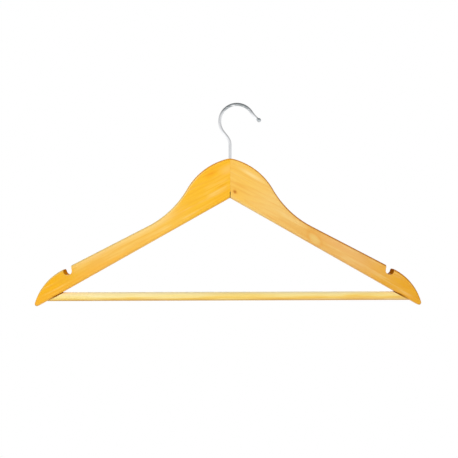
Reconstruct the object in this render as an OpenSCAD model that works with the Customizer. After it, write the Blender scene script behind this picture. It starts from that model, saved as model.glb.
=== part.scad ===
// Flat wooden clothes hanger: two mitred arms, a turned trouser bar and a swivel hook.
// X runs tip to tip, Y through the thickness (front is -Y), Z up.
// The origin is where a rail bears on the inside of the hook's crown.

/* [Arms] */
// Width over the two shoulder tips
span = 444; // [436:4:456]
// Thickness of the wood
thickness = 12; // [11.5:0.5:14]
// Radius of the round-over on the long edges
edge_r = 3; // [2:0.5:3]
// Depth of the wood at the mitre, crown to underside
mitre_depth = 45; // [44:1:48]
// Slope of the underside below horizontal
underside_slope = 29.5; // [29:0.1:30]
// Slope of the straight upper edge below horizontal
arm_slope = 27.3; // [27:0.1:27.6]

/* [Crown and shoulders] */
// Radius of each half of the crown
crown_r = 74; // [70:1:76]
// Slope at which the two crown arcs would meet at the mitre
crown_lean = 11.5; // [10:0.5:13]
// Steepest slope, where the crown turns into the neck
neck_slope = 60; // [58:1:62]
// Radius of the hollow between the crown and the straight upper edge
neck_r = 110; // [105:1:115]
// Radius that blends the two crown arcs at the top
peak_r = 16; // [12:1:20]
// Radius of the shoulder
shoulder_r = 61; // [56:1:66]
// Blunting of the shoulder's tip, as the radius of the arc that its flat touches
tip_r = 2.4; // [2.4:0.4:3.2]

/* [Strap notches] */
// Diameter of the cutter that makes a notch
notch_d = 9.4; // [7:0.2:10]
// Distance from the mitre to the centre of a notch's round bottom
notch_x = 184.4; // [183:0.2:186]
// Depth of that centre below the upper edge, measured straight down
notch_drop = 4.4; // [3.4:0.2:5]
// Lean of the notch away from the mitre
notch_lean = 10; // [0:1:12]

/* [Hook] */
// Diameter of the hook's wire
wire_d = 3.5; // [3:0.1:3.6]
// Height of the hook above the crown
hook_h = 65; // [60:1:70]
// Radius of the hook's main bend, to the middle of the wire
hook_r = 20; // [18:0.5:22]
// Distance from the swivel axis to the middle of the main bend
hook_offset = 8; // [6:0.5:9]
// Radius of the bend at the bottom of the neck
neck_bend_r = 15.4; // [14:0.2:17]
// Lean of the hook's neck from vertical
neck_bend = 38.7; // [37:0.1:41]
// Where the main bend ends, above horizontal
mouth_angle = 33; // [28:1:38]
// Radius of the flared lip
lip_r = 33; // [28:1:38]
// Angle that the flared lip turns back through
lip_angle = 22; // [15:1:28]
// Diameter of the ball on the end of the wire
ball_d = 4.8; // [4:0.1:6]

/* [Trouser bar] */
// Diameter of the bar
bar_d = 10; // [9:0.5:11]
// Depth of the bar's axis below the crown
bar_drop = 158.7; // [157:0.1:160]
// Diameter of the spigot turned on each end
spigot_d = 6; // [5:0.5:6]

/* [Hidden] */
$fn = 64;

wood_left = "#f2ad37";
wood_right = "#e8b25c";
wood_bar = "#eccb78";
wood_dowel = "#d9b98a";
chrome = "#c9cdd2";
steel = "#9a9ea3";
brass = "#c6a04a";

over = 1;            // how far a cutter runs past the face that it opens
fit = 0.05;          // radial clearance of a glued or turning fit

// ---- outline of an arm: x out from the mitre, y up from the crown ----
function polar(c, r, a) = c + r * [cos(a), sin(a)];
function arc(c, r, from, to, n) = [for (i = [0 : n]) polar(c, r, from + (to - from) * i / n)];
function degrees_of(length, r) = length / r * 180 / PI;    // angle that a length takes on an arc
function underside(x) = -mitre_depth - tan(underside_slope) * x;

// the peak arc is centred on the mitre and the crown arc beyond it
peak_c = [0, -peak_r];
crown_cx = -crown_r * sin(crown_lean);
crown_c = [crown_cx, -peak_r - sqrt(pow(crown_r - peak_r, 2) - pow(crown_cx, 2))];
peak_end = atan2(peak_c.y - crown_c.y, -crown_cx);
crown_end = 90 - neck_slope;
neck_c = polar(crown_c, crown_r + neck_r, crown_end);
neck_from = 180 + crown_end;
neck_to = 270 - arm_slope;
arm_start = polar(neck_c, neck_r, neck_to);

// the shoulder arc touches the straight edge and a small circle in the tip
tip_c = [span / 2 - tip_r,
         underside(span / 2 - tip_r) + tip_r / cos(underside_slope)];
along_arm = [cos(arm_slope), -sin(arm_slope)];
into_arm = [-sin(arm_slope), -cos(arm_slope)];
from_tip = arm_start + shoulder_r * into_arm - tip_c;
back_along = from_tip * along_arm;
arm_len = -back_along - sqrt(pow(back_along, 2) - from_tip * from_tip + pow(shoulder_r - tip_r, 2));
shoulder_c = arm_start + shoulder_r * into_arm + arm_len * along_arm;
shoulder_from = 90 - arm_slope;
shoulder_to = atan2(tip_c.y - shoulder_c.y, tip_c.x - shoulder_c.x);
tip_mid = (shoulder_to - 90 - underside_slope) / 2;
tip_flat = polar(tip_c, tip_r, tip_mid);

// ---- edges: the round-over stops just short of tangent, as a routed edge does ----
rim_ease = 0.25;     // how far the arc's radius exceeds its distance from the faces
spare = 2;           // the blank is sawn this far outside the outline
waste = 6;           // width of the waste that each pass of the router clears
hair = 0.02;         // each pass that runs on past its join stands this much proud
run_on = 2;          // how far it runs on

// ---- notch ----
notch_c = [notch_x, arm_start.y - tan(arm_slope) * (notch_x - arm_start.x) - notch_drop];

// ---- hook, bore and fixings, on the swivel axis, z from the crown ----
wire_r = wire_d / 2;
throat_r = wire_r + 0.3;
throat_depth = 2.5;
bush_r = 3;
bush_len = 10;
washer_r = 4;
washer_t = 0.8;
nut_flats = 6;
nut_t = 2.8;
pocket_r = 4.4;
pocket_end = -20;
play = 0.05;         // axial gap between parts that turn against each other
bush_top = -throat_depth;
washer_top = bush_top - bush_len;
nut_top = washer_top - washer_t - play;
thread_pitch = 0.6;
thread_depth = 0.3;
thread_turns = 9;
thread_top = nut_top + thread_pitch;
wire_end = thread_top - thread_turns * thread_pitch;

bend_c = [hook_offset, hook_h - hook_r - wire_r];
neck_len = (hook_r * cos(neck_bend) - neck_bend_r * (1 - cos(neck_bend)) - hook_offset) / sin(neck_bend);
shank_top = bend_c.y - (hook_r + neck_bend_r) * sin(neck_bend) - neck_len * cos(neck_bend);
neck_bend_c = [-neck_bend_r, shank_top];
neck_start = polar(neck_bend_c, neck_bend_r, neck_bend);
lip_c = polar(bend_c, hook_r + lip_r, mouth_angle);
lip_end = 180 + mouth_angle + lip_angle;
weld_r = wire_r + 0.04;
weld_gap = 0.05;     // the stretches of wire stop this far apart, inside a weld
weld_angle = 0.1;
rail_seat = [hook_offset, 0, bend_c.y + hook_r - wire_r];

// ---- mitre joint ----
dowel_r = 2.5;
dowel_len = 24;
dowel_hole = 12.4;   // depth in each arm
dowel_bevel = 0.8;
upper_dowel_z = -25.5;
lower_dowel_z = -34.5;
flutes = 10;
flute_r = 0.4;
glue_gap_w = 0.5;    // the glue line is open at its lower end,
glue_gap_h = 6.5;
glue_gap_t = 3;       // and only in front

// ---- trouser bar ----
bar_z = -bar_drop;
bar_end = (bar_drop - mitre_depth) / tan(underside_slope);
bar_gap = 0.4;       // between the bar's mitred end and the arm
spigot_r = spigot_d / 2;
spigot_end = bar_end + 12;
spigot_hole_end = spigot_end + 0.5;
pin_x = bar_end + 8.5;
pin_r = 0.6;
pin_head_r = 1.1;
pin_head_t = 0.6;
pin_len = 9.3;
pin_hole_depth = 9.5;

// Drawn flat with y up and the front on +z, then stood upright below the rail seat
module upright() {
    translate(-rail_seat) rotate([90, 0, 0]) children();
}

// Drawn upright with the crown of the mitre at zero, then hung below the rail seat
module hung() {
    translate(-rail_seat) children();
}

// Cross-section of the waste outside an eased edge: wood at u < 0, the outline at u = 0
module waste_section() {
    high = thickness / 2 + over;
    difference() {
        translate([-edge_r, -high]) square([edge_r + waste, 2 * high]);
        translate([-2 * edge_r, edge_r - thickness / 2])
            square([2 * edge_r, thickness - 2 * edge_r]);
        intersection() {
            translate([-2 * edge_r, -high]) square([2 * edge_r, 2 * high]);
            for (side = [-1, 1])
                translate([-edge_r, side * (thickness / 2 - edge_r)]) circle(edge_r + rim_ease);
        }
    }
}

// Waste along an arc that bulges out of the wood
module round_pass(c, r, from, to) {
    translate([c.x, c.y, 0]) rotate([0, 0, from])
        rotate_extrude(angle = to - from) translate([r, 0]) waste_section();
}

// Waste along an arc hollowed into the wood
module hollow_pass(c, r, from, to) {
    translate([c.x, c.y, 0]) rotate([0, 0, from])
        rotate_extrude(angle = to - from) translate([r, 0]) mirror([1, 0]) waste_section();
}

// Waste along a straight edge from p, with the wood on its right
module straight_pass(p, slope, length) {
    translate([p.x, p.y, 0]) rotate([0, 0, -slope]) rotate([90, 0, 90])
        linear_extrude(length) waste_section();
}

// One arm's board before the joinery, lying flat
module arm_blank() {
    low_end = [span, underside(span)];
    difference() {
        linear_extrude(thickness, center = true) polygon(concat(
            [[0, spare]],
            arc(crown_c, crown_r + spare, peak_end, crown_end, 6),
            arc(neck_c, neck_r - spare, neck_from, neck_to, 6),
            arc(shoulder_c, shoulder_r + spare, shoulder_from, shoulder_to, 6),
            [[span / 2 + spare, underside(span / 2)], [span / 2, underside(span / 2) - spare]],
            [[0, underside(0) - spare]]));
        round_pass(peak_c, peak_r - hair, peak_end, 100);
        round_pass(crown_c, crown_r, crown_end, peak_end + degrees_of(run_on, crown_r));
        hollow_pass(neck_c, neck_r - hair, neck_from - degrees_of(run_on, neck_r),
                    neck_to + degrees_of(run_on, neck_r));
        straight_pass(arm_start, arm_slope, arm_len + run_on);
        round_pass(shoulder_c, shoulder_r - hair, shoulder_to - degrees_of(run_on, shoulder_r),
                   shoulder_from);
        translate([tip_flat.x, tip_flat.y, 0]) rotate([0, 0, tip_mid])
            translate([0, -waste, -thickness]) cube([waste, 2 * waste, 2 * thickness]);
        straight_pass(low_end, 180 + underside_slope, 2 * span);
    }
}

// One finished arm; the left one is the right one's mirror image
module arm() {
    difference() {
        upright() arm_blank();
        hung() {
            translate([0, 0, bush_top - over]) cylinder(r = throat_r, h = throat_depth + 2 * over);
            translate([0, 0, washer_top]) cylinder(r = bush_r + fit, h = bush_len);
            translate([0, 0, pocket_end]) cylinder(r = pocket_r, h = washer_top - pocket_end);
            for (z = [upper_dowel_z, lower_dowel_z])
                translate([-over, 0, z]) rotate([0, 90, 0])
                    cylinder(r = dowel_r + fit, h = dowel_hole + over);
            translate([-over, -thickness / 2 - over, -2 * mitre_depth])
                cube([over + glue_gap_w / 2, over + glue_gap_t, mitre_depth + glue_gap_h]);
            translate([bar_end - 2 * bar_d, 0, bar_z]) rotate([0, 90, 0])
                cylinder(r = spigot_r + fit, h = spigot_hole_end - bar_end + 2 * bar_d);
            translate([pin_x, thickness / 2 - pin_hole_depth, bar_z]) rotate([-90, 0, 0])
                cylinder(r = pin_r + fit, h = pin_hole_depth + over);
            translate([pin_x, thickness / 2 - pin_head_t, bar_z]) rotate([-90, 0, 0])
                cylinder(r = pin_head_r + fit, h = pin_head_t + over);
        }
        upright() translate([notch_c.x, notch_c.y, 0]) rotate([0, 0, -notch_lean]) {
            cylinder(d = notch_d, h = 2 * thickness, center = true);
            translate([-notch_d / 2, 0, -thickness]) cube([notch_d, 4 * notch_d, 2 * thickness]);
        }
    }
}

module left_arm() color(wood_left) mirrored() arm();
module right_arm() color(wood_right) arm();

// The same thing on the other side of the mitre
module mirrored() {
    translate([-2 * rail_seat.x, 0, 0]) mirror([1, 0, 0]) children();
}

// Grooved peg across the mitre
module mitre_dowel(z) {
    plain = dowel_len - 2 * dowel_bevel;
    color(wood_dowel) hung() translate([0, 0, z]) rotate([0, 90, 0]) difference() {
        union() {
            cylinder(r = dowel_r, h = plain, center = true);
            for (end = [0, 1]) mirror([0, 0, end]) translate([0, 0, plain / 2])
                cylinder(r1 = dowel_r, r2 = dowel_r - dowel_bevel, h = dowel_bevel);
        }
        for (i = [1 : flutes]) rotate([0, 0, 360 * i / flutes])
            translate([dowel_r + flute_r / 4, 0, 0]) cylinder(r = flute_r, h = 2 * dowel_len, center = true);
    }
}

module mitre_dowel_upper() mitre_dowel(upper_dowel_z);
module mitre_dowel_lower() mitre_dowel(lower_dowel_z);

// Tube that the hook turns in, trapped between the two arms
module hook_bush() {
    color(brass) hung() translate([0, 0, washer_top]) difference() {
        cylinder(r = bush_r, h = bush_len);
        translate([0, 0, -over]) cylinder(r = wire_r + fit, h = bush_len + 2 * over);
    }
}

module hook_washer() {
    color(steel) hung() translate([0, 0, washer_top - washer_t]) difference() {
        cylinder(r = washer_r, h = washer_t);
        translate([0, 0, -over]) cylinder(r = wire_r + fit, h = washer_t + 2 * over);
    }
}

module hook_nut() {
    color(steel) hung() translate([0, 0, nut_top - nut_t]) difference() {
        cylinder(d = nut_flats / cos(30), h = nut_t, $fn = 6);
        translate([0, 0, -over]) cylinder(r = wire_r + fit, h = nut_t + 2 * over);
    }
}

// A bend in the wire
module wire_arc(c, r, from, to) {
    translate([c.x, c.y, 0]) rotate([0, 0, from])
        rotate_extrude(angle = to - from) translate([r, 0]) circle(wire_r);
}

// A straight run of the wire from p, leaning away from vertical
module wire_run(p, lean, length) {
    translate([p.x, p.y, 0]) rotate([0, 0, lean]) translate([0, weld_gap, 0]) rotate([-90, 0, 0])
        cylinder(r = wire_r, h = length - 2 * weld_gap);
}

// Where two stretches of wire run into each other
module wire_weld(p, lean) {
    translate([p.x, p.y, 0]) rotate([0, 0, lean]) rotate([-90, 0, 0]) sphere(r = weld_r);
}

// Threaded end of the wire, turned as a row of grooves
module thread() {
    crests = [for (i = [1 : thread_turns]) each [
        [wire_r - thread_depth, thread_top - (i - 0.5) * thread_pitch],
        [wire_r, thread_top - i * thread_pitch]]];
    rotate_extrude() polygon(concat([[0, thread_top], [wire_r, thread_top]], crests, [[0, wire_end]]));
}

module hook() {
    color(chrome) union() {
        hung() thread();
        upright() {
            wire_run([0, thread_top - weld_gap], 0, shank_top - thread_top + weld_gap);
            wire_weld([0, shank_top], 0);
            wire_arc(neck_bend_c, neck_bend_r, 0, neck_bend);
            wire_weld(neck_start, neck_bend);
            wire_run(neck_start, neck_bend, neck_len);
            wire_weld(polar(bend_c, hook_r, 180 + neck_bend), neck_bend);
            wire_arc(bend_c, hook_r, mouth_angle, 180 + neck_bend);
            wire_weld(polar(bend_c, hook_r, mouth_angle), mouth_angle - 180);
            wire_arc(lip_c, lip_r, 180 + mouth_angle + weld_angle, lip_end);
            translate(polar(lip_c, lip_r, lip_end)) sphere(d = ball_d);
        }
    }
}

// Round bar with its ends cut to the slope of the arms and a spigot turned on each
module trouser_bar() {
    color(wood_bar) hung() translate([0, 0, bar_z]) difference() {
        union() {
            difference() {
                rotate([0, 90, 0]) cylinder(r = bar_d / 2, h = span, center = true);
                for (side = [0, 1]) mirror([side, 0, 0]) translate([bar_end, 0, 0])
                    rotate([0, underside_slope, 0]) translate([-span, -bar_d, -bar_gap])
                        cube([2 * span, 2 * bar_d, span]);
            }
            rotate([0, 90, 0]) cylinder(r = spigot_r, h = 2 * spigot_end, center = true);
        }
        for (side = [-1, 1]) translate([side * pin_x, 0, 0]) rotate([90, 0, 0])
            cylinder(r = pin_r + fit, h = 2 * bar_d, center = true);
    }
}

// Brad driven from the back through a spigot
module bar_pin() {
    color(steel) hung() translate([pin_x, thickness / 2, bar_z]) rotate([90, 0, 0]) {
        cylinder(r = pin_head_r, h = pin_head_t);
        cylinder(r = pin_r, h = pin_len);
    }
}

module left_bar_pin() mirrored() bar_pin();
module right_bar_pin() bar_pin();

left_arm();
right_arm();
mitre_dowel_upper();
mitre_dowel_lower();
hook_bush();
hook_washer();
hook();
hook_nut();
trouser_bar();
left_bar_pin();
right_bar_pin();
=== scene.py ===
"""Looks for a flat wooden clothes hanger: two mitred boards, a round trouser bar and a swivel hook.

Lengths are in millimetres, measured from the top of the mitre joint (x out from the joint, z up
from the crown, y back from the middle of the board), and turn into metres when a mesh is made.
"""

import math

import bmesh
import bpy
import numpy as np
from mathutils import Matrix, Vector


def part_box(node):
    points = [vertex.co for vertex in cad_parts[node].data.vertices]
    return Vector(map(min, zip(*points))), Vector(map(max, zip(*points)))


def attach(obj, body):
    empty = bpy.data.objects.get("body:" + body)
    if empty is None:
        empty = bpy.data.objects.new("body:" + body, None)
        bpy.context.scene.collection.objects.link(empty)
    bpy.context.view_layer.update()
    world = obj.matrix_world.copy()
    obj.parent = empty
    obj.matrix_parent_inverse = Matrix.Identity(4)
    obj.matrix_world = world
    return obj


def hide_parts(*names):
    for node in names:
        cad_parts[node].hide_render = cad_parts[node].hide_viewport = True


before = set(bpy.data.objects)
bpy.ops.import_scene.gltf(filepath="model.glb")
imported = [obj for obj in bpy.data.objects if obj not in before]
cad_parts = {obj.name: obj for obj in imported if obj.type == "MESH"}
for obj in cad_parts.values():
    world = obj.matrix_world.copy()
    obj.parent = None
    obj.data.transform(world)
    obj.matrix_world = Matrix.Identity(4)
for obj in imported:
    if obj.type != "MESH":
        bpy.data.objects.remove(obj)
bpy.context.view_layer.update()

MM = 0.001  # metres
arm_low, arm_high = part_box("right_arm")
bar_low, bar_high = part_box("trouser_bar")
hook_low, hook_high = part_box("hook")
bush_low, bush_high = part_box("hook_bush")
_, washer_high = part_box("hook_washer")
pin_low, pin_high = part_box("right_bar_pin")

# how far the drawn pieces stop short of the CAD model's box
TIP_SHY = 0.15
BAR_SHY = 0.005
SPIGOT_SHY = 0.01
HOOK_TOP_SHY = 0.012
THREAD_SHY = 0.01

CROWN = Vector((arm_low.x, 0, arm_high.z))  # top of the mitre joint, in the row frame
HALF_T = arm_high.y / MM
HALF_SPAN = (arm_high.x - CROWN.x) / MM - TIP_SHY


def polar(centre, radius, degrees):
    """The point that far from centre, at an angle from +x."""
    a = math.radians(degrees)
    return np.array(centre) + radius * np.array([math.cos(a), math.sin(a)])


def degrees_to(centre, point):
    """The angle at which point is seen from centre."""
    return math.degrees(math.atan2(point[1] - centre[1], point[0] - centre[0]))


def full_turn(segments):
    """Evenly spaced angles round a circle, in radians."""
    return [2 * math.pi * i / segments for i in range(segments)]


# ---- outline of an arm: straight and round edges, each with its own round-over ----
#
# An edge gives its point at t, moved into the wood by inset (at), how that point moves with t
# (speed) and the way out of the wood (facing). Its ends are the values of t where it starts and
# stops, and its step is how far t goes over one facet.


class Straight:
    """An edge from start along a slope, with the wood on its right."""

    def __init__(self, start, degrees, length, edge_r, step):
        self.start = np.array(start, float)
        self.along = polar((0, 0), 1, degrees)
        self.out = polar((0, 0), 1, degrees + 90)
        self.ends = (0.0, length)
        self.edge_r = edge_r
        self.step = step

    def at(self, t, inset):
        return self.start + t * self.along - inset * self.out

    def speed(self, t, inset):
        return self.along

    def facing(self, t):
        return self.out


class Round:
    """An arc that bulges out of the wood (bulge 1) or is hollowed into it (bulge -1)."""

    def __init__(self, centre, radius, first, last, bulge, edge_r, step):
        self.centre = np.array(centre, float)
        self.radius = radius
        self.bulge = bulge
        self.ends = (-bulge * math.radians(first), -bulge * math.radians(last))
        self.edge_r = edge_r
        self.step = step / radius

    def at(self, t, inset):
        a = -self.bulge * t
        r = self.radius - self.bulge * inset
        return self.centre + r * np.array([math.cos(a), math.sin(a)])

    def speed(self, t, inset):
        a = -self.bulge * t
        r = self.radius - self.bulge * inset
        return self.bulge * r * np.array([math.sin(a), -math.cos(a)])

    def facing(self, t):
        a = -self.bulge * t
        return self.bulge * np.array([math.cos(a), math.sin(a)])


NEWTON_STEPS = 30
CORNER_STEPS = 6


def meet(a, b, inset_a, inset_b):
    """Where edge a, moved in by inset_a, runs into edge b, moved in by inset_b."""
    ta, tb = a.ends[1], b.ends[0]
    for _ in range(NEWTON_STEPS):
        gap = b.at(tb, inset_b) - a.at(ta, inset_a)
        move = np.linalg.solve(np.column_stack([a.speed(ta, inset_a), -b.speed(tb, inset_b)]), gap)
        ta, tb = ta + move[0], tb + move[1]
    return ta, tb


def rounding(edge_r, depth):
    """How far a round-over has moved in from the edge's side, at a depth below the board's face."""
    if depth >= edge_r:
        return 0.0
    return edge_r - math.sqrt(edge_r**2 - (edge_r - depth) ** 2)


def ring(edges, joins, depth, margin=0.0):
    """The arm's outline at a depth below its face. A join is None where two edges flow into each
    other, or the radius of the corner between them."""
    count = len(edges)
    insets = [rounding(e.edge_r, depth) + margin for e in edges]
    low = [e.ends[0] for e in edges]
    high = [e.ends[1] for e in edges]
    final = list(range(count))  # the edge that runs into the corner after each edge
    for k, corner in enumerate(joins):
        if corner is not None:
            n = (k + 1) % count
            high[k], low[n] = meet(edges[k], edges[n], insets[k] + corner, insets[n] + corner)
            if high[k] < low[k]:  # moving in has used this short edge up
                final[k] = f = k - 1
                high[f], low[n] = meet(edges[f], edges[n], insets[f] + corner, insets[n] + corner)
    points = []
    for k, e in enumerate(edges):
        samples = max(1, round(abs(e.ends[1] - e.ends[0]) / e.step))
        f = final[k]
        for i in range(samples + 1):
            if i == samples and joins[k] is None:
                continue  # the next edge starts with this point
            t = e.ends[0] + (e.ends[1] - e.ends[0]) * i / samples
            t = low[k] if i == 0 else high[k] if i == samples else min(max(t, low[k]), high[k])
            points.append(e.at(t, insets[k]) if f == k else edges[f].at(high[f], insets[f]))
        if joins[k]:
            n = (k + 1) % count
            centre = edges[f].at(high[f], insets[f] + joins[k])
            first = degrees_to((0, 0), edges[f].facing(high[f]))
            turn = (degrees_to((0, 0), edges[n].facing(low[n])) - first + 180) % 360 - 180
            points += [polar(centre, joins[k], first + turn * i / CORNER_STEPS)
                       for i in range(1, CORNER_STEPS)]
    return points


# part.scad's numbers for the arms
CROWN_R = 74
CROWN_LEAN = 11.5  # degrees, the slope at which the two crown arcs would meet
PEAK_R = 16
NECK_SLOPE = 60  # degrees, where the crown turns into the neck
NECK_R = 110
ARM_SLOPE = 27.3  # degrees
UNDERSIDE_SLOPE = 29.5  # degrees
MITRE_DEPTH = 45
SHOULDER_R = 61
TIP_R = 2.4
NOTCH_R = 4.7
NOTCH_X = 184.4  # from the mitre to the centre of the notch's round bottom
NOTCH_DROP = 4.4  # from the arm's upper edge straight down to that centre
NOTCH_LEAN = 10  # degrees that it leans away from the mitre
LONG_EDGE_R = 3.0  # router's round-over

# only drawn, or not quite as in part.scad
NOTCH_LIP_R = 0.5  # where the notch's walls come out of the arm's edge
NOTCH_EDGE_R = 0.5  # sanded by hand
ARRIS_R = 0.15
GLUE_GAP = (0.3, 6.5, 3.0)  # half width, height and depth of the open end of the glue line


def underside(x):
    return -MITRE_DEPTH - math.tan(math.radians(UNDERSIDE_SLOPE)) * x


def arm_outline(gap_x):
    """The arm's edges, clockwise from the top of the mitre, and how each joins the next.
    gap_x is how far the glue line stands open at its lower end."""
    peak_c = (0, -PEAK_R)
    crown_x = -CROWN_R * math.sin(math.radians(CROWN_LEAN))
    crown_c = (crown_x, -PEAK_R - math.sqrt((CROWN_R - PEAK_R) ** 2 - crown_x**2))
    peak_end = degrees_to(crown_c, peak_c)
    crown_end = 90 - NECK_SLOPE
    neck_c = polar(crown_c, CROWN_R + NECK_R, crown_end)
    neck_end = 270 - ARM_SLOPE
    arm_start = polar(neck_c, NECK_R, neck_end)

    # the shoulder touches the straight edge and a small round tip
    tip_c = np.array([HALF_SPAN - TIP_R, underside(HALF_SPAN - TIP_R)])
    tip_c[1] += TIP_R / math.cos(math.radians(UNDERSIDE_SLOPE))
    along = polar((0, 0), 1, -ARM_SLOPE)
    inwards = polar((0, 0), 1, -ARM_SLOPE - 90)
    from_tip = arm_start + SHOULDER_R * inwards - tip_c
    back = from_tip @ along
    arm_len = -back - math.sqrt(back**2 - from_tip @ from_tip + (SHOULDER_R - TIP_R) ** 2)
    shoulder_c = arm_start + SHOULDER_R * inwards + arm_len * along
    shoulder_end = degrees_to(shoulder_c, tip_c)

    notch_drop = math.tan(math.radians(ARM_SLOPE)) * (NOTCH_X - arm_start[0]) + NOTCH_DROP
    notch_c = np.array([NOTCH_X, arm_start[1] - notch_drop])
    wall = 9.0  # longer than the notch's walls are
    near_wall = polar(notch_c, NOTCH_R, 180 - NOTCH_LEAN) + polar((0, 0), wall, 90 - NOTCH_LEAN)
    far_wall = polar(notch_c, NOTCH_R, -NOTCH_LEAN)
    notch_at = NOTCH_X - NOTCH_R - arm_start[0]

    gap_h = GLUE_GAP[1]
    edges = [
        Round(peak_c, PEAK_R, 90, peak_end, 1, LONG_EDGE_R, 1.0),
        Round(crown_c, CROWN_R, peak_end, crown_end, 1, LONG_EDGE_R, 1.6),
        Round(neck_c, NECK_R, 180 + crown_end, neck_end, -1, LONG_EDGE_R, 2.0),
        Straight(arm_start, -ARM_SLOPE, notch_at / along[0], LONG_EDGE_R, 5.0),
        Straight(near_wall, 270 - NOTCH_LEAN, wall, NOTCH_EDGE_R, 1.2),
        Round(notch_c, NOTCH_R, 180 - NOTCH_LEAN, 360 - NOTCH_LEAN, -1, NOTCH_EDGE_R, 0.6),
        Straight(far_wall, 90 - NOTCH_LEAN, NOTCH_R, NOTCH_EDGE_R, 1.2),
        Round(shoulder_c, SHOULDER_R, 90 - ARM_SLOPE, shoulder_end, 1, LONG_EDGE_R, 1.2),
        Straight((HALF_SPAN, underside(HALF_SPAN)), 180 - UNDERSIDE_SLOPE,
                 HALF_SPAN / math.cos(math.radians(UNDERSIDE_SLOPE)), LONG_EDGE_R, 6.0),
        Straight((gap_x, underside(gap_x)), 90, gap_h, ARRIS_R, 1.5),
        Straight((gap_x, gap_h - MITRE_DEPTH), 180, gap_x, ARRIS_R, 1.0),
        Straight((0, gap_h - MITRE_DEPTH), 90, MITRE_DEPTH - gap_h, ARRIS_R, 3.0),
    ]
    joins = [None, None, None, NOTCH_LIP_R, None, None, NOTCH_LIP_R, TIP_R, ARRIS_R, 0, 0, ARRIS_R]
    return edges, joins


# ---- meshes ----


def to_row(point, side=1):
    """A point in millimetres from the top of the mitre, in the row frame. Side -1 mirrors it."""
    x, y, z = point
    return CROWN + Vector((side * x, y, z)) * MM


def finished(name, bm):
    """The object made from a closed bmesh, with its doubled points joined and its faces outward."""
    bmesh.ops.remove_doubles(bm, verts=bm.verts, dist=2e-6)
    bmesh.ops.dissolve_degenerate(bm, edges=bm.edges, dist=1e-7)
    bmesh.ops.recalc_face_normals(bm, faces=bm.faces)
    mesh = bpy.data.meshes.new(name)
    bm.to_mesh(mesh)
    bm.free()
    piece = bpy.data.objects.new(name, mesh)
    bpy.context.scene.collection.objects.link(piece)
    return piece


def smooth(piece, crease=32):
    """Smooth shading that breaks at creases sharper than that many degrees."""
    piece.data.shade_smooth()
    piece.data.set_sharp_from_angle(angle=math.radians(crease))


def skin(bm, rings):
    """Quads between each ring of points and the next, and a face over each end."""
    loops = [[bm.verts.new(p) for p in points] for points in rings]
    count = len(loops[0])
    for a, b in zip(loops, loops[1:]):
        for i in range(count):
            j = (i + 1) % count
            bm.faces.new((a[i], a[j], b[j], b[i]))
    bm.faces.new(loops[0])
    bm.faces.new(reversed(loops[-1]))


def turned(profile, axis_from, axis_to, segments=48):
    """A bmesh turned about an axis in the row frame. The profile is a list of radius and distance
    along the axis, in millimetres."""
    bm = bmesh.new()
    along = (axis_to - axis_from).normalized()
    side = along.orthogonal().normalized()
    up = along.cross(side)
    skin(bm, [[axis_from + along * d * MM + (side * math.cos(a) + up * math.sin(a)) * r * MM
               for a in full_turn(segments)] for r, d in profile])
    return bm


def cut(piece, cutter_bm):
    """Takes the cutter's shape out of the piece."""
    cutter = finished("cutter", cutter_bm)
    boolean = piece.modifiers.new("cut", "BOOLEAN")
    boolean.operation = "DIFFERENCE"
    boolean.solver = "EXACT"
    boolean.object = cutter
    evaluated = piece.evaluated_get(bpy.context.evaluated_depsgraph_get())
    made = bpy.data.meshes.new_from_object(evaluated)
    piece.modifiers.clear()
    old = piece.data
    piece.data = made
    bpy.data.meshes.remove(old)
    bpy.data.objects.remove(cutter)


FIT = 0.05  # room round the bush and round the spigots
THROAT_R = 2.05  # the bore above the bush
NUT_POCKET_R = 4.4
NUT_POCKET_END = 20  # below the crown
PIN_HOLE_R = 0.65
PIN_HOLE_DEPTH = 9.5  # from the back face
PIN_HEAD_HOLE = (1.15, 0.6)  # radius and depth
DOWEL_HOLE = (2.55, 12.4)  # radius and depth
SPIGOT_HOLE_FROM = 150  # from the mitre, outside the wood
SPIGOT_HOLE_SPARE = 0.5  # past the spigot's end
BAR_SHOULDER = 2  # all round each spigot
BAR_R = (bar_high.z - bar_low.z) / MM / 2
SPIGOT_R = BAR_R - BAR_SHOULDER
bar_z = ((bar_high.z + bar_low.z) / 2 - CROWN.z) / MM
spigot_end = (bar_high.x - CROWN.x) / MM
bush_r = (bush_high.y - bush_low.y) / MM / 2
bush_top = (bush_high.z - CROWN.z) / MM
washer_top = (washer_high.z - CROWN.z) / MM
pin_x = ((pin_high.x + pin_low.x) / 2 - CROWN.x) / MM

FLAT_MARGIN = 0.5  # width of the flat strips beside a round-over that keep its shading true
EDGE_FACETS = 12  # of a quarter round-over
SHUT = 0.02  # half the glue line's width where it is shut


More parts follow.
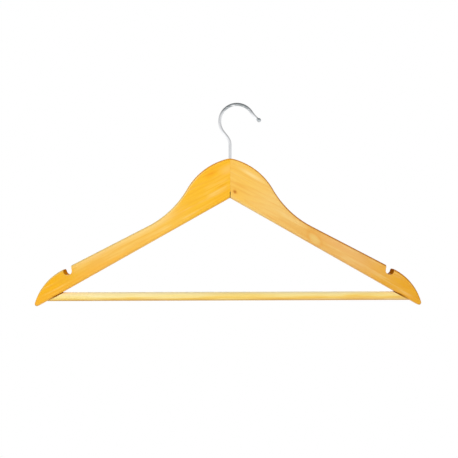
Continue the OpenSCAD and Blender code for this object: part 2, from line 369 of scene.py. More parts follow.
def board(name, side):
    """One arm: side 1 for the right one, -1 for the left one."""
    depths = [LONG_EDGE_R * (1 - math.sin(math.radians(90 / EDGE_FACETS * i)))
              for i in range(EDGE_FACETS, 0, -1)]
    depths += [LONG_EDGE_R, LONG_EDGE_R + FLAT_MARGIN]
    layers = [(0.0, FLAT_MARGIN)] + [(d, 0.0) for d in depths]
    rings = []
    for depth, margin in layers:
        gap_x = GLUE_GAP[0] if depth < GLUE_GAP[2] else SHUT
        points = ring(*arm_outline(gap_x), depth, margin)
        rings.append([to_row((x, depth - HALF_T, z), side) for x, z in points])
    for depth, margin in reversed(layers):
        points = ring(*arm_outline(SHUT), depth, margin)
        rings.append([to_row((x, HALF_T - depth, z), side) for x, z in points])
    bm = bmesh.new()
    skin(bm, rings)
    piece = finished(name, bm)

    # swivel bore: throat, seat of the bush, pocket of the nut. Each cutter starts outside the wood.
    steps = [(THROAT_R, -2), (THROAT_R, -bush_top), (bush_r + FIT, -bush_top),
             (bush_r + FIT, -washer_top), (NUT_POCKET_R, -washer_top),
             (NUT_POCKET_R, NUT_POCKET_END)]
    cut(piece, turned(steps, to_row((0, 0, 0)), to_row((0, 0, -1))))
    for node in ("mitre_dowel_upper", "mitre_dowel_lower"):
        low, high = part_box(node)
        z = ((low.z + high.z) / 2 - CROWN.z) / MM
        r, depth = DOWEL_HOLE
        cut(piece, turned([(r, -1), (r, depth)], to_row((0, 0, z)), to_row((side, 0, z)),
                          segments=32))
    r = SPIGOT_R + FIT
    cut(piece, turned([(r, SPIGOT_HOLE_FROM), (r, spigot_end + SPIGOT_HOLE_SPARE)],
                      to_row((0, 0, bar_z)), to_row((side, 0, bar_z))))
    head_r, head_t = PIN_HEAD_HOLE
    hole = [(head_r, -1), (head_r, head_t), (PIN_HOLE_R, head_t), (PIN_HOLE_R, PIN_HOLE_DEPTH)]
    back = to_row((pin_x, HALF_T, bar_z), side)
    cut(piece, turned(hole, back, to_row((pin_x, 0, bar_z), side), segments=32))
    smooth(piece)
    return piece


BAR_GAP = 0.1  # between the bar's mitred end and the arm
BAR_ARRIS_R = 0.35
ARRIS_FACETS = 6
SPIGOT_CHAMFER = 0.6
BAR_SEGMENTS = 72
BAR_MIDDLE = 150  # from the mitre to the last of its evenly spaced rings
BAR_RINGS = 31
PIN_CUT = 10  # half the length of the cutter that drills the bar for a pin


def trouser_bar():
    """Round bar, its ends cut to the slope of the arms' undersides, with a spigot on each."""
    radius = BAR_R - BAR_SHY
    slope = math.tan(math.radians(UNDERSIDE_SLOPE))
    mitre_x = (-bar_z - MITRE_DEPTH) / slope
    gap = BAR_GAP / math.sin(math.radians(UNDERSIDE_SLOPE))

    def end_ring(r, back, side):
        points = []
        for a in full_turn(BAR_SEGMENTS):
            z = r * math.sin(a)
            x = mitre_x - gap - z / slope - back
            points.append(to_row((side * x, r * math.cos(a), bar_z + z)))
        return points

    def flat_ring(r, x):
        return [to_row((x, r * math.cos(a), bar_z + r * math.sin(a)))
                for a in full_turn(BAR_SEGMENTS)]

    rounded = [(radius - BAR_ARRIS_R * (1 - math.cos(a)), BAR_ARRIS_R * (1 - math.sin(a)))
               for a in (math.radians(90 / ARRIS_FACETS * i) for i in range(ARRIS_FACETS + 1))]
    reach = spigot_end - SPIGOT_SHY
    left = [flat_ring(SPIGOT_R - SPIGOT_CHAMFER, -reach),
            flat_ring(SPIGOT_R, SPIGOT_CHAMFER - reach), end_ring(SPIGOT_R, 0, -1)]
    left += [end_ring(r, back, -1) for r, back in reversed(rounded)]
    middle = [flat_ring(radius, x) for x in np.linspace(-BAR_MIDDLE, BAR_MIDDLE, BAR_RINGS)]
    right = [end_ring(r, back, 1) for r, back in rounded]
    right += [end_ring(SPIGOT_R, 0, 1), flat_ring(SPIGOT_R, reach - SPIGOT_CHAMFER),
              flat_ring(SPIGOT_R - SPIGOT_CHAMFER, reach)]
    bm = bmesh.new()
    skin(bm, left + middle + right)
    piece = finished("turned_trouser_bar", bm)
    for side in (-1, 1):
        start = to_row((side * pin_x, -PIN_CUT, bar_z))
        end = to_row((side * pin_x, PIN_CUT, bar_z))
        cut(piece, turned([(PIN_HOLE_R, 0), (PIN_HOLE_R, 2 * PIN_CUT)], start, end, segments=24))
    smooth(piece, crease=40)
    return piece


# part.scad's numbers for the hook. Radii of bends are to the middle of the wire
WIRE_R = 1.75
HOOK_R = 20
HOOK_OFFSET = 8  # of the big bend's centre from the shank
NECK_BEND_R = 15.4
NECK_BEND = 38.7  # degrees
MOUTH_ANGLE = 33  # degrees above level, where the big bend ends
LIP_R = 33
LIP_ANGLE = 22  # degrees that the lip bends back out
BALL_R = 2.4
THREAD_PITCH = 0.6
THREAD_TURNS = 9
THREAD_DEPTH = 0.3

# how the hook is drawn
BALL_HOLLOW = 0.5  # width of the hollow where the wire runs into the ball
BALL_RUN_IN = 0.9  # of wire that is drawn with the ball
BALL_FLAT = 0.02  # between the ball's far pole and the flat that closes it
BALL_RINGS = 34
WIRE_STOP = 1  # from the ball's surface to where the wire's own rings end
WIRE_SEGMENTS = 40


def wire_route():
    """The middle of the wire from its threaded end as a list of x, z and direction in degrees,
    then the ball's centre and the wire's direction there."""
    top = (hook_high.z - CROWN.z) / MM - HOOK_TOP_SHY
    bend_c = (HOOK_OFFSET, top - HOOK_R - WIRE_R)
    lean = math.radians(NECK_BEND)
    neck_out = HOOK_R * math.cos(lean) - NECK_BEND_R * (1 - math.cos(lean)) - HOOK_OFFSET
    neck_len = neck_out / math.sin(lean)
    shank_top = bend_c[1] - (HOOK_R + NECK_BEND_R) * math.sin(lean) - neck_len * math.cos(lean)
    neck_bend_c = (-NECK_BEND_R, shank_top)
    lip_c = polar(bend_c, HOOK_R + LIP_R, MOUTH_ANGLE)
    wire_end = (hook_low.z - CROWN.z) / MM + THREAD_SHY

    route = [(0, z, 90) for z in np.linspace(wire_end, shank_top, 40, endpoint=False)]
    for a in np.arange(0, NECK_BEND, 2.0):
        route.append((*polar(neck_bend_c, NECK_BEND_R, a), 90 + a))
    neck_start = polar(neck_bend_c, NECK_BEND_R, NECK_BEND)
    for d in np.linspace(0, neck_len, 8, endpoint=False):
        route.append((*(neck_start + polar((0, 0), d, 90 + NECK_BEND)), 90 + NECK_BEND))
    for a in np.arange(180 + NECK_BEND, MOUTH_ANGLE, -1.5):
        route.append((*polar(bend_c, HOOK_R, a - 360), a - 90))
    for a in np.arange(0, LIP_ANGLE, 1.0):
        route.append((*polar(lip_c, LIP_R, 180 + MOUTH_ANGLE + a), MOUTH_ANGLE - 90 + a))
    end = polar(lip_c, LIP_R, 180 + MOUTH_ANGLE + LIP_ANGLE)
    return route, end, MOUTH_ANGLE + LIP_ANGLE - 90


def wire_hook():
    """The bent wire, with its thread and the ball upset on its end, as one skin."""
    route, ball_c, ball_way = wire_route()
    rings = []

    def add(x, z, way, r):
        side = polar((0, 0), 1, way + 90)
        rings.append([to_row((x + side[0] * r * math.cos(a), r * math.sin(a),
                              z + side[1] * r * math.cos(a))) for a in full_turn(WIRE_SEGMENTS)])

    # thread, from the end of the wire up
    bottom = route[0][1]
    add(0, bottom, 90, WIRE_R - 2 * THREAD_DEPTH)
    for i in range(THREAD_TURNS):
        add(0, bottom + (i + 0.5) * THREAD_PITCH, 90, WIRE_R)
        add(0, bottom + (i + 1) * THREAD_PITCH, 90, WIRE_R - THREAD_DEPTH)
    thread_top = bottom + THREAD_TURNS * THREAD_PITCH
    for x, z, way in route:
        from_ball = math.hypot(x - ball_c[0], z - ball_c[1])
        if z > thread_top + THREAD_PITCH / 2 and from_ball > BALL_R + WIRE_STOP:
            add(x, z, way, WIRE_R)

    # the ball and the small hollow where the wire runs into it
    onwards = polar((0, 0), 1, ball_way)
    for s in np.linspace(-BALL_R - BALL_RUN_IN, BALL_R - BALL_FLAT, BALL_RINGS):
        r = sphere = math.sqrt(max(0.0, BALL_R**2 - s * s))
        if s < 0:
            h = max(0.0, BALL_HOLLOW - abs(sphere - WIRE_R)) / BALL_HOLLOW
            r = max(sphere, WIRE_R) + h * h * BALL_HOLLOW / 4
        x, z = ball_c + onwards * s
        add(x, z, ball_way, r)
    bm = bmesh.new()
    skin(bm, rings)
    piece = finished("bent_wire_hook", bm)
    smooth(piece, crease=50)
    return piece


# ---- materials: arithmetic on fields adds nodes to the material ----


class Field:
    """A value, colour or vector that varies over the surface."""

    def __init__(self, look, socket):
        self.look = look
        self.socket = socket

    def math(self, operation, *others, clamp=False):
        return self.look.node("ShaderNodeMath", [self, *others],
                              operation=operation, use_clamp=clamp)

    def __add__(self, other):
        return self.math("ADD", other)

    def __sub__(self, other):
        return self.math("SUBTRACT", other)

    def __mul__(self, other):
        return self.math("MULTIPLY", other)

    def stepped(self, start, end):
        """0 up to start, 1 from end on and smooth between. End may be the lower number."""
        inputs = {"Value": self, "From Min": start, "From Max": end}
        return self.look.node("ShaderNodeMapRange", inputs, interpolation_type="SMOOTHSTEP")


class Look:
    """A material and the nodes that it is made of."""

    def __init__(self, name):
        self.material = bpy.data.materials.new(name)
        self.material.use_nodes = True
        self.tree = self.material.node_tree
        self.tree.nodes.clear()
        self.shader = self.tree.nodes.new("ShaderNodeBsdfPrincipled")
        output = self.tree.nodes.new("ShaderNodeOutputMaterial")
        self.tree.links.new(self.shader.outputs[0], output.inputs[0])
        place = self.tree.nodes.new("ShaderNodeTexCoord")
        self.at = Field(self, place.outputs["Object"])
        self.normal = Field(self, place.outputs["Normal"])

    def node(self, kind, inputs=(), out=0, **settings):
        """Adds a node. Inputs are fields or numbers, by name or by position."""
        made = self.tree.nodes.new(kind)
        for key, value in settings.items():
            setattr(made, key, value)
        for key, value in inputs.items() if isinstance(inputs, dict) else enumerate(inputs):
            self.feed(made.inputs[key], value)
        return Field(self, made.outputs[out])

    def feed(self, socket, value):
        if isinstance(value, Field):
            self.tree.links.new(value.socket, socket)
        else:
            socket.default_value = value

    def shade(self, **inputs):
        """Sets the shader's own inputs, named with underscores for spaces."""
        for key, value in inputs.items():
            self.feed(self.shader.inputs[key.replace("_", " ")], value)

    def mapped(self, vector, scale, location=(0, 0, 0), rotation=(0, 0, 0)):
        return self.node("ShaderNodeMapping", {"Vector": vector, "Location": location,
                                               "Rotation": rotation, "Scale": scale})

    def millimetres(self):
        """The place on the surface, in millimetres of the row frame."""
        return self.mapped(self.at, (1 / MM,) * 3)

    def from_crown(self, side=1):
        """The place in millimetres from the top of the mitre. Side -1 mirrors it."""
        origin = (-side * CROWN.x / MM, 0, -CROWN.z / MM)
        return self.mapped(self.at, (side / MM, 1 / MM, 1 / MM), origin)

    def split(self, vector):
        """The x, y and z of a vector."""
        parts = self.node("ShaderNodeSeparateXYZ", [vector]).socket.node
        return [Field(self, part) for part in parts.outputs]

    def facings(self):
        """How far the surface faces up, and how far it faces straight to the front or back."""
        _, depth, up = self.split(self.normal)
        return up, depth.math("ABSOLUTE")

    def noise(self, vector, size, seed, detail=2.0, roughness=0.5):
        """Cloudy noise around 0.5, stretched to features of that size (x, y, z)."""
        scale = [1 / s for s in size]
        inputs = {"Vector": self.mapped(vector, scale), "W": seed, "Scale": 1.0, "Detail": detail,
                  "Roughness": roughness}
        return self.node("ShaderNodeTexNoise", inputs, noise_dimensions="4D")

    def ramp(self, value, stops):
        """A colour for a value from 0 to 1: stops are (position, colour)."""
        made = self.tree.nodes.new("ShaderNodeValToRGB")
        elements = made.color_ramp.elements
        while len(elements) < len(stops):
            elements.new(0.5)
        for element, (position, colour) in zip(elements, stops):
            element.position = position
            element.color = (*colour, 1)
        self.feed(made.inputs[0], value)
        return Field(self, made.outputs[0])

    def mix(self, factor, a, b, blend="MIX"):
        made = self.tree.nodes.new("ShaderNodeMix")
        made.data_type = "RGBA"
        made.blend_type = blend
        self.feed(made.inputs[0], factor)
        self.feed(made.inputs[6], a if isinstance(a, Field) else (*a, 1))
        self.feed(made.inputs[7], b if isinstance(b, Field) else (*b, 1))
        return Field(self, made.outputs[2])

    def bump(self, height, distance):
        inputs = {"Height": height, "Distance": distance, "Strength": 1.0}
        return self.node("ShaderNodeBump", inputs)

    def blot(self, vector, centre, size, turn=0.0):
        """1 at the middle of a soft oval in the plane of the board, 0 outside it. Turn is the
        downward slope of its first half width, in degrees."""
        moved = self.mapped(vector, (1, 1, 1), (-centre[0], 0, -centre[1]))
        moved = self.mapped(moved, (1, 1, 1), rotation=(0, math.radians(-turn), 0))
        moved = self.mapped(moved, (1 / size[0], 0, 1 / size[1]))
        far = self.node("ShaderNodeVectorMath", [moved], out=1, operation="LENGTH")
        return far.stepped(1.0, 0.0)


def srgb(r, g, b):
    """A colour from its 0 to 255 screen values, as the linear numbers that a shader wants."""
    return tuple(((c / 255 + 0.055) / 1.055) ** 2.4 if c > 10 else c / 255 / 12.92
                 for c in (r, g, b))


GRAIN_SLOPE = 28  # degrees, between the slopes of the arm's two long edges
TONES_REACH = 250  # of grain from the mitre, over which an arm's tones are spread


def board_look(name, side, tones, pale, deep, edge, end_grain_and_shade_tint, seed, pith, extras):
    """Varnished softly figured wood, with the grain along the arm."""
    look = Look(name)
    slope = math.radians(GRAIN_SLOPE)
    flat = look.from_crown(side)
    grain = look.mapped(flat, (1, 1, 1), rotation=(0, -slope, 0))

    # the grain wanders a little from a straight line
    sway = look.noise(grain, (90, 30, 40), seed, detail=1.0) - 0.5
    along, depth, across = look.split(grain)
    across = across + sway * 9

    # growth rings round a pith that runs at a slight angle to the board
    pith_along, pith_across, pith_tilt, ring_gap = pith
    down = (along - pith_along) * pith_tilt + depth
    beside = across - pith_across
    radius = (down * down + beside * beside).math("SQRT")
    wobble = look.noise(grain, (60, 20, 9), seed + 3, detail=3.0) * 2.2
    rings = (radius * (1 / ring_gap) + wobble).math("FRACT")
    late = rings.stepped(0.35, 0.9) * rings.stepped(1.0, 0.93)

    # fibres, cloudy patches and pores
    fibre = look.noise(grain, (42, 1.2, 1.1), seed + 5, detail=4.0, roughness=0.65)
    pale_streak = look.noise(grain, (75, 6, 4.2), seed + 7, detail=2.0).stepped(0.46, 0.70)
    deep_streak = look.noise(grain, (52, 6, 3.0), seed + 17, detail=3.0).stepped(0.50, 0.74)
    cloud = look.noise(grain, (30, 12, 12), seed + 9, detail=3.0).stepped(0.42, 0.64)
    pores = look.noise(grain, (7, 0.45, 0.42), seed + 11, detail=1.0).stepped(0.66, 0.76)

    colour = look.ramp(along * (1 / TONES_REACH) + sway * 0.12, tones)
    at_mitre = along.stepped(85, 25)
    broken = look.noise(grain, (26, 9, 9), seed + 23, detail=2.0).stepped(0.36, 0.6)
    colour = look.mix(pale_streak * broken * (at_mitre * -0.15 + 0.75), colour, pale)
    colour = look.mix(deep_streak * (at_mitre * -0.2 + 0.5), colour, deep)
    colour = look.mix(late * (at_mitre * 0.1 + 0.25), colour, (0.93, 0.78, 0.60), "MULTIPLY")
    colour = look.mix(fibre.stepped(0.42, 0.72) * 0.45, colour, (0.93, 0.84, 0.70), "MULTIPLY")
    colour = look.mix(cloud * 0.3, colour, (1.0, 0.90, 0.66), "MULTIPLY")
    colour = look.mix(pores * 0.16, colour, (0.78, 0.56, 0.34), "MULTIPLY")
    colour = extras(look, flat, along, across, colour)

    # old glue in the open end of the mitre
    x, _, z = look.split(flat)
    gap_top = GLUE_GAP[1] - MITRE_DEPTH
    glue = x.stepped(0.45, 0.3) * z.stepped(gap_top + 1, gap_top - 1)
    colour = look.mix(glue * 0.9, colour, srgb(104, 60, 4))

    # painted shade on the round-overs along the upper edge, paler on the left board as a painted
    # reflection; end grain drinks the finish
    up, to_face = look.facings()
    top_edge_shading = up.stepped(0.1, 0.4) * to_face.stepped(0.02, 0.2) * to_face.stepped(0.97, 0.8)
    colour = look.mix(top_edge_shading * 0.9, colour, look.mix(at_mitre, edge, srgb(214, 140, 42)))
    # end grain is darker as it drinks the finish; its tint is deepened with painted shade for the
    # notch walls, most on the right board
    fibre_way = (side * math.cos(slope), 0, -math.sin(slope))
    facing = look.node("ShaderNodeVectorMath", [look.normal, fibre_way], out=1,
                       operation="DOT_PRODUCT")
    end_grain = facing.math("ABSOLUTE").stepped(0.45, 0.95)
    colour = look.mix(end_grain, colour, end_grain_and_shade_tint, "MULTIPLY")
    matt = end_grain.math("ADD", top_edge_shading, clamp=True)

    # handling dulls the tips of the shoulders
    tip = look.blot(flat, (HALF_SPAN, underside(HALF_SPAN)), (5.5, 5.5)).stepped(0.0, 0.5)
    colour = look.mix(tip * 0.7, colour, srgb(168, 136, 88))

    height = fibre * 0.5 + late * 0.3 - pores * 0.8
    ripple = look.noise(grain, (14, 9, 9), seed + 13)
    look.shade(
        Base_Color=colour,
        Roughness=look.noise(grain, (30, 3, 3), seed + 15).stepped(0.2, 0.9) * 0.14 + 0.36,
        Normal=look.bump(height * 0.6 + ripple * 2.0, 0.00004),
        Specular_IOR_Level=matt * -0.2 + 0.2,
        Coat_Weight=matt * -0.1 + 0.1,
        Coat_Roughness=0.22,
    )
    return look.material


def left_extras(look, flat, along, across, colour):
    """A brown smudge under the crown, a pale patch beside the mitre, a painted highlight on the
    neck's round-over and along the arm's upper side, and a deeper orange along the arm's lower side
    that is partly painted shade."""
    up, to_face = look.facings()
    neck = along.stepped(25, 45) * along.stepped(110, 85) * up.stepped(0.03, 0.2)
    # painted highlight on the inner part of the round-over along the neck
    neck_highlight = neck * to_face.stepped(0.75, 0.93) * to_face.stepped(1.0, 0.985)
    colour = look.mix(neck_highlight * 0.6, colour, srgb(254, 222, 146))
    on_arm = along.stepped(75, 105)
    # painted highlight along the arm's upper side
    upper = across.stepped(-31.5, -26.5) * on_arm * along.stepped(235, 200)
    colour = look.mix(upper * 0.5, colour, srgb(254, 220, 146))
    # deeper orange along the arm's lower side, partly painted shade
    lower = across.stepped(-35, -41) * on_arm
    colour = look.mix(lower * 0.4, colour, srgb(253, 184, 58))
    patch = look.blot(flat, (3, -13), (16, 8), 25)
    colour = look.mix(patch * 0.7, colour, srgb(251, 198, 100))
    smudge = look.blot(flat, (22, -18), (12, 5), 30)
    colour = look.mix(smudge * 0.9, colour, (0.97, 0.80, 0.50), "MULTIPLY")
    line = look.blot(flat, (9, -31), (12, 1.3), 27)
    colour = look.mix(line * 0.8, colour, (0.90, 0.74, 0.50), "MULTIPLY")
    return colour


def right_extras(look, flat, along, across, colour):
    """A pin knot beside the mitre, a pale band round the crown and a swirl halfway along."""
    halo = look.blot(flat, (5.9, -38.8), (7.0, 4.4), 50)
    colour = look.mix(halo * 0.6, colour, (0.97, 0.80, 0.50), "MULTIPLY")
    knot = look.blot(flat, (5.4, -38.4), (3.8, 2.8), 50)
    colour = look.mix(knot, colour, (0.60, 0.36, 0.22), "MULTIPLY")
    band = look.blot(flat, (25, -19.5), (23, 3.4), 31)
    colour = look.mix(band * 0.7, colour, srgb(253, 222, 152))
    swirl = look.blot(flat, (97, -92.5), (16, 8), 46)
    rim = swirl.stepped(0.02, 0.25) * swirl.stepped(0.6, 0.3)
    colour = look.mix(rim * 0.6, colour, (0.96, 0.84, 0.66), "MULTIPLY")
    colour = look.mix(swirl.stepped(0.3, 0.9) * 0.55, colour, srgb(240, 203, 118))
    blush = look.blot(flat, (124, -99), (36, 7), 28)
    colour = look.mix(blush * 0.5, colour, srgb(240, 182, 112))
    return colour


def bar_look():
    """Pale straight-grained wood, with painted highlight along its upper side, painted shade along
    its underside and a painted shadow at its mitred ends.
    """
    look = Look("bar_wood")
    mm = look.from_crown()
    fibre = look.noise(mm, (60, 1.0, 1.0), 41.0, detail=4.0, roughness=0.6)
    streak = look.noise(mm, (55, 2.0, 2.0), 43.0, detail=2.0)
    cloud = look.noise(mm, (45, 5, 4), 45.0)
    out, _, up = look.split(mm)
    up = up - bar_z
    # painted shade towards the underside and painted highlight towards the top, over cloudy tone,
    # and paler towards the left
    height = up * (0.5 / BAR_R) + (cloud - 0.5) * 0.8 + out * -0.0008 + 0.5
    colour = look.ramp(height, [(0.1, srgb(238, 184, 84)), (0.36, srgb(249, 207, 100)),
                                (0.62, srgb(254, 231, 150)), (0.9, srgb(254, 237, 176))])
    middle = look.blot(mm, (5, bar_z), (70, 30))
    colour = look.mix(middle * 0.6, colour, srgb(250, 214, 110))
    colour = look.mix(streak.stepped(0.5, 0.72) * 0.5, colour, srgb(255, 238, 176))
    colour = look.mix(fibre.stepped(0.45, 0.75) * 0.35, colour, (0.92, 0.82, 0.62), "MULTIPLY")
    # painted shade along the underside
    colour = look.mix(up.stepped(-0.5 * BAR_R, -0.8 * BAR_R) * 0.5, colour, srgb(198, 146, 62))
    # painted highlight along the top
    colour = look.mix(up.stepped(0.7 * BAR_R, 0.95 * BAR_R) * 0.6, colour, srgb(255, 246, 200))
    # painted shadow in the gap between each mitred end and the arm, strongest on the upper side
    slope = math.radians(UNDERSIDE_SLOPE)
    inwards = up * -math.cos(slope) - out.math("ABSOLUTE") * math.sin(slope)
    inwards = inwards - (bar_z + MITRE_DEPTH) * math.cos(slope)
    rim = inwards.stepped(1.5, 0.7) * up.stepped(-BAR_R, BAR_R * 0.4)
    colour = look.mix(rim, colour, srgb(140, 70, 0))
    look.shade(
        Base_Color=colour,
        Roughness=look.noise(mm, (25, 3, 3), 47.0) * 0.12 + 0.36,
        Normal=look.bump(fibre, 0.000012),
        Specular_IOR_Level=rim * -0.15 + 0.15,
        Coat_Weight=rim * -0.1 + 0.1,
        Coat_Roughness=0.3,
    )
    return look.material


def dowel_look():
    """Bare beech with its short darker flecks."""
    look = Look("dowel_beech")
    mm = look.millimetres()
    fibre = look.noise(mm, (12, 0.5, 0.5), 51.0, detail=3.0)
    fleck = look.noise(mm, (2.2, 0.3, 0.3), 53.0).stepped(0.62, 0.7)
    colour = look.ramp(fibre, [(0.3, srgb(206, 168, 120)), (0.7, srgb(228, 198, 154))])
    colour = look.mix(fleck * 0.5, colour, (0.62, 0.44, 0.28), "MULTIPLY")
    look.shade(Base_Color=colour, Roughness=fibre * 0.2 + 0.55, Normal=look.bump(fibre, 0.00004))
    return look.material


def chrome_look():
    """Bright plated wire, with painted dark reflections in streaks round the top of the bend,
    rougher there, and a painted dark reflection on the ball."""
    look = Look("bright_chrome")
    mm = look.millimetres()
    haze = look.noise(mm, (6, 6, 6), 61.0, detail=3.0)
    draw = look.noise(mm, (0.5, 0.5, 3.0), 63.0, detail=2.0)
    _, _, up = look.split(mm)
    bend_top = hook_high.z / MM
    # painted dark reflection in streaks round the top of the bend
    bend = up.stepped(bend_top - 17, bend_top - 5)
    dark_streaks = look.noise(mm, (12.0, 1.6, 0.9), 65.0, detail=1.5).stepped(0.26, 0.56)
    colour = look.ramp(haze, [(0.3, srgb(238, 240, 243)), (0.7, srgb(250, 250, 252))])
    # painted dark reflection on the ball
    _, ball_c, _ = wire_route()
    ball = look.blot(look.from_crown(), ball_c, (BALL_R + 2, BALL_R + 2)).stepped(0.0, 0.45)
    colour = look.mix(ball * 0.7, colour, srgb(152, 162, 166))
    look.shade(
        Base_Color=look.mix(bend * dark_streaks * 0.8, colour, srgb(112, 122, 124)),
        Metallic=1.0,
        Roughness=haze * 0.10 + 0.12 + bend * dark_streaks * 0.1,
        Normal=look.bump(draw, 0.000006),
    )
    return look.material


def zinc_look():
    """Zinc-plated steel with a soft spangle."""
    look = Look("zinc_plate")
    mm = look.millimetres()
    spangle = look.noise(mm, (1.2, 1.2, 1.2), 71.0, detail=2.0)
    scratch = look.noise(mm, (4, 0.2, 0.2), 73.0)
    look.shade(
        Base_Color=look.ramp(spangle, [(0.35, srgb(158, 162, 168)), (0.65, srgb(196, 200, 205))]),
        Metallic=1.0,
        Roughness=spangle * 0.2 + 0.26,
        Normal=look.bump(scratch, 0.00001),
    )
    return look.material


def brass_look():
    """Drawn brass tube, slightly tarnished."""
    look = Look("drawn_brass")
    mm = look.millimetres()
    tarnish = look.noise(mm, (2.0, 2.0, 2.0), 81.0, detail=3.0)
    draw = look.noise(mm, (0.25, 0.25, 6.0), 83.0)
    look.shade(
        Base_Color=look.ramp(tarnish, [(0.3, srgb(168, 128, 62)), (0.7, srgb(214, 178, 98))]),
        Metallic=1.0,
        Roughness=tarnish * 0.25 + 0.2,
        Normal=look.bump(draw, 0.00001),
    )
    return look.material


# ---- pieces ----

left_tones = [(0.12, srgb(250, 189, 40)), (0.25, srgb(249, 190, 48)), (0.49, srgb(249, 201, 94)),
              (0.75, srgb(247, 192, 86)), (0.90, srgb(246, 187, 45)), (0.99, srgb(252, 186, 24))]
right_tones = [(0.12, srgb(247, 197, 90)), (0.25, srgb(246, 204, 118)), (0.49, srgb(237, 183, 92)),
               (0.75, srgb(238, 184, 102)), (0.90, srgb(236, 175, 55)), (0.99, srgb(238, 172, 28))]

# the edge colours are painted shade on the upper round-overs, the left board's paler one a painted
# reflection; the end grain tints also carry painted shade for the notch walls
left_board = board("left_arm_board", -1)
left_board.data.materials.append(board_look(
    "left_board_wood", -1, left_tones, pale=srgb(253, 212, 122), deep=srgb(245, 176, 58),
    edge=srgb(232, 198, 120), end_grain_and_shade_tint=(0.74, 0.52, 0.08), seed=11.0, pith=(150, 30, 0.06, 4.0),
    extras=left_extras))
right_board = board("right_arm_board", 1)
right_board.data.materials.append(board_look(
    "right_board_wood", 1, right_tones, pale=srgb(248, 211, 134), deep=srgb(234, 170, 80),
    edge=srgb(196, 120, 44), end_grain_and_shade_tint=(0.48, 0.28, 0.02), seed=27.0, pith=(67, -33, 0.10, 4.6),
    extras=right_extras))
bar = trouser_bar()
bar.data.materials.append(bar_look())
hook = wire_hook()
hook.data.materials.append(chrome_look())

for piece, node, body, slot in (
    (left_board, "left_arm", "hanger", "left_board"),
    (right_board, "right_arm", "hanger", "right_board"),
    (bar, "trouser_bar", "hanger", "bar"),
    (hook, "hook", "hook", "hook"),
):
    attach(piece, body)
    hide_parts(node)

beech = dowel_look()
zinc = zinc_look()
brass = brass_look()
for node, material in (
    ("mitre_dowel_upper", beech),
    ("mitre_dowel_lower", beech),
    ("hook_bush", brass),
    ("hook_washer", zinc),
    ("hook_nut", zinc),
    ("left_bar_pin", zinc),
    ("right_bar_pin", zinc),
):
    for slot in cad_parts[node].material_slots:
        slot.material = material

# ---- camera, at the height of the middle of the arms and a little to the left ----

CAMERA_FAR = 500 * MM  # from what it aims at
CAMERA_YAW = math.radians(1.4)
CAMERA_ROLL = math.radians(0.03)
SENSOR = 36  # millimetres
PICTURE_WIDTH = 458
SCALE = 1.157 * MM  # metres of hanger in each pixel

aim = CROWN + Vector((-1.2, 0, -81.0)) * MM  # the middle of the picture
camera_data = bpy.data.cameras.new("camera")
camera_data.sensor_width = SENSOR
camera_data.lens = SENSOR * CAMERA_FAR / (PICTURE_WIDTH * SCALE)
camera = bpy.data.objects.new("camera", camera_data)
bpy.context.scene.collection.objects.link(camera)
camera.location = aim + CAMERA_FAR * Vector((-math.sin(CAMERA_YAW), -math.cos(CAMERA_YAW), 0))
look_way = (aim - camera.location).to_track_quat("-Z", "Y").to_matrix().to_4x4()
camera.matrix_world = (Matrix.Translation(camera.location) @ look_way
                       @ Matrix.Rotation(CAMERA_ROLL, 4, "Z"))
bpy.context.scene.camera = camera

# ---- light ----


def softbox(name, place, size, power):
    """A rectangular light at a place in metres from what the camera aims at, facing it."""
    light = bpy.data.lights.new(name, "AREA")
    light.shape = "RECTANGLE"
    light.size, light.size_y = size
    light.energy = power
    box = bpy.data.objects.new(name, light)
    bpy.context.scene.collection.objects.link(box)
    box.location = aim + Vector(place)
    box.rotation_euler = (aim - box.location).to_track_quat("-Z", "Y").to_euler()
    box.visible_glossy = False


softbox("key", (-0.35, -1.0, 0.75), (0.8, 0.5), 9.6)
softbox("fill", (0.8, -1.2, -0.2), (0.7, 0.7), 2.5)
softbox("back", (0.3, 1.2, 0.2), (0.8, 0.8), 7)

world = bpy.data.worlds.new("studio")
bpy.context.scene.world = world
world.use_nodes = True
nodes, links = world.node_tree.nodes, world.node_tree.links
nodes.clear()
way = nodes.new("ShaderNodeTexCoord")
path = nodes.new("ShaderNodeLightPath")


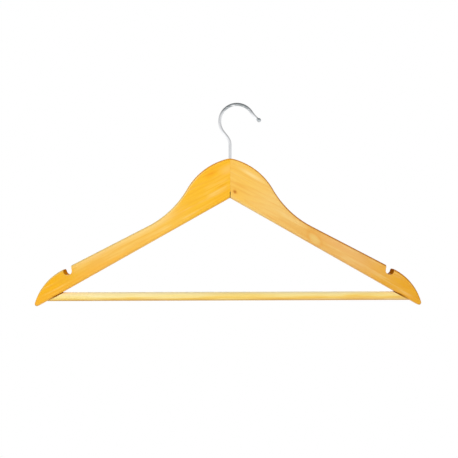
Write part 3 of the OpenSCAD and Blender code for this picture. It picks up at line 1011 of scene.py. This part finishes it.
def walls(level, falls):
    """Light from all round: so bright in the middle and brighter towards falls (x, y, z)."""
    fall = nodes.new("ShaderNodeVectorMath")
    fall.operation = "DOT_PRODUCT"
    fall.inputs[1].default_value = falls
    strength = nodes.new("ShaderNodeMath")
    strength.operation = "ADD"
    strength.inputs[1].default_value = level
    light = nodes.new("ShaderNodeBackground")
    light.inputs["Color"].default_value = (1, 1, 1, 1)
    links.new(way.outputs["Generated"], fall.inputs[0])
    links.new(fall.outputs["Value"], strength.inputs[0])
    links.new(strength.outputs[0], light.inputs["Strength"])
    return light.outputs[0]


def choose(ray, others, such):
    """One light for such rays and another one for the others."""
    made = nodes.new("ShaderNodeMixShader")
    links.new(path.outputs[ray], made.inputs[0])
    links.new(others, made.inputs[1])
    links.new(such, made.inputs[2])
    return made.outputs[0]


# the walls are bright below and dim above; the camera itself sees plain white behind the hanger
lit = choose("Is Glossy Ray", walls(0.52, (-0.03, 0, -0.42)), walls(0.84, (0, 0, -0.55)))
lit = choose("Is Camera Ray", lit, walls(1.0, (0, 0, 0)))
out = nodes.new("ShaderNodeOutputWorld")
links.new(lit, out.inputs[0])
bpy.context.scene.view_settings.view_transform = "Standard"

# ---- floor: pale and plain, well below the hanger ----

FLOOR_HALF = 30.0  # metres
FLOOR_DROP = 0.32  # metres below what the camera aims at

floor_mesh = bpy.data.meshes.new("floor")
corners = [(x * FLOOR_HALF, y * FLOOR_HALF, 0) for x, y in ((-1, -1), (1, -1), (1, 1), (-1, 1))]
floor_mesh.from_pydata(corners, [], [(0, 1, 2, 3)])
floor = bpy.data.objects.new("floor", floor_mesh)
bpy.context.scene.collection.objects.link(floor)
floor.location = (aim.x, 0, aim.z - FLOOR_DROP)
floor_look = bpy.data.materials.new("pale_floor")
floor_look.use_nodes = True
floor_look.node_tree.nodes.clear()
glow = floor_look.node_tree.nodes.new("ShaderNodeEmission")
floor_out = floor_look.node_tree.nodes.new("ShaderNodeOutputMaterial")
floor_look.node_tree.links.new(glow.outputs[0], floor_out.inputs[0])
floor_mesh.materials.append(floor_look)
floor.visible_diffuse = False
floor.visible_glossy = False
floor.visible_shadow = False
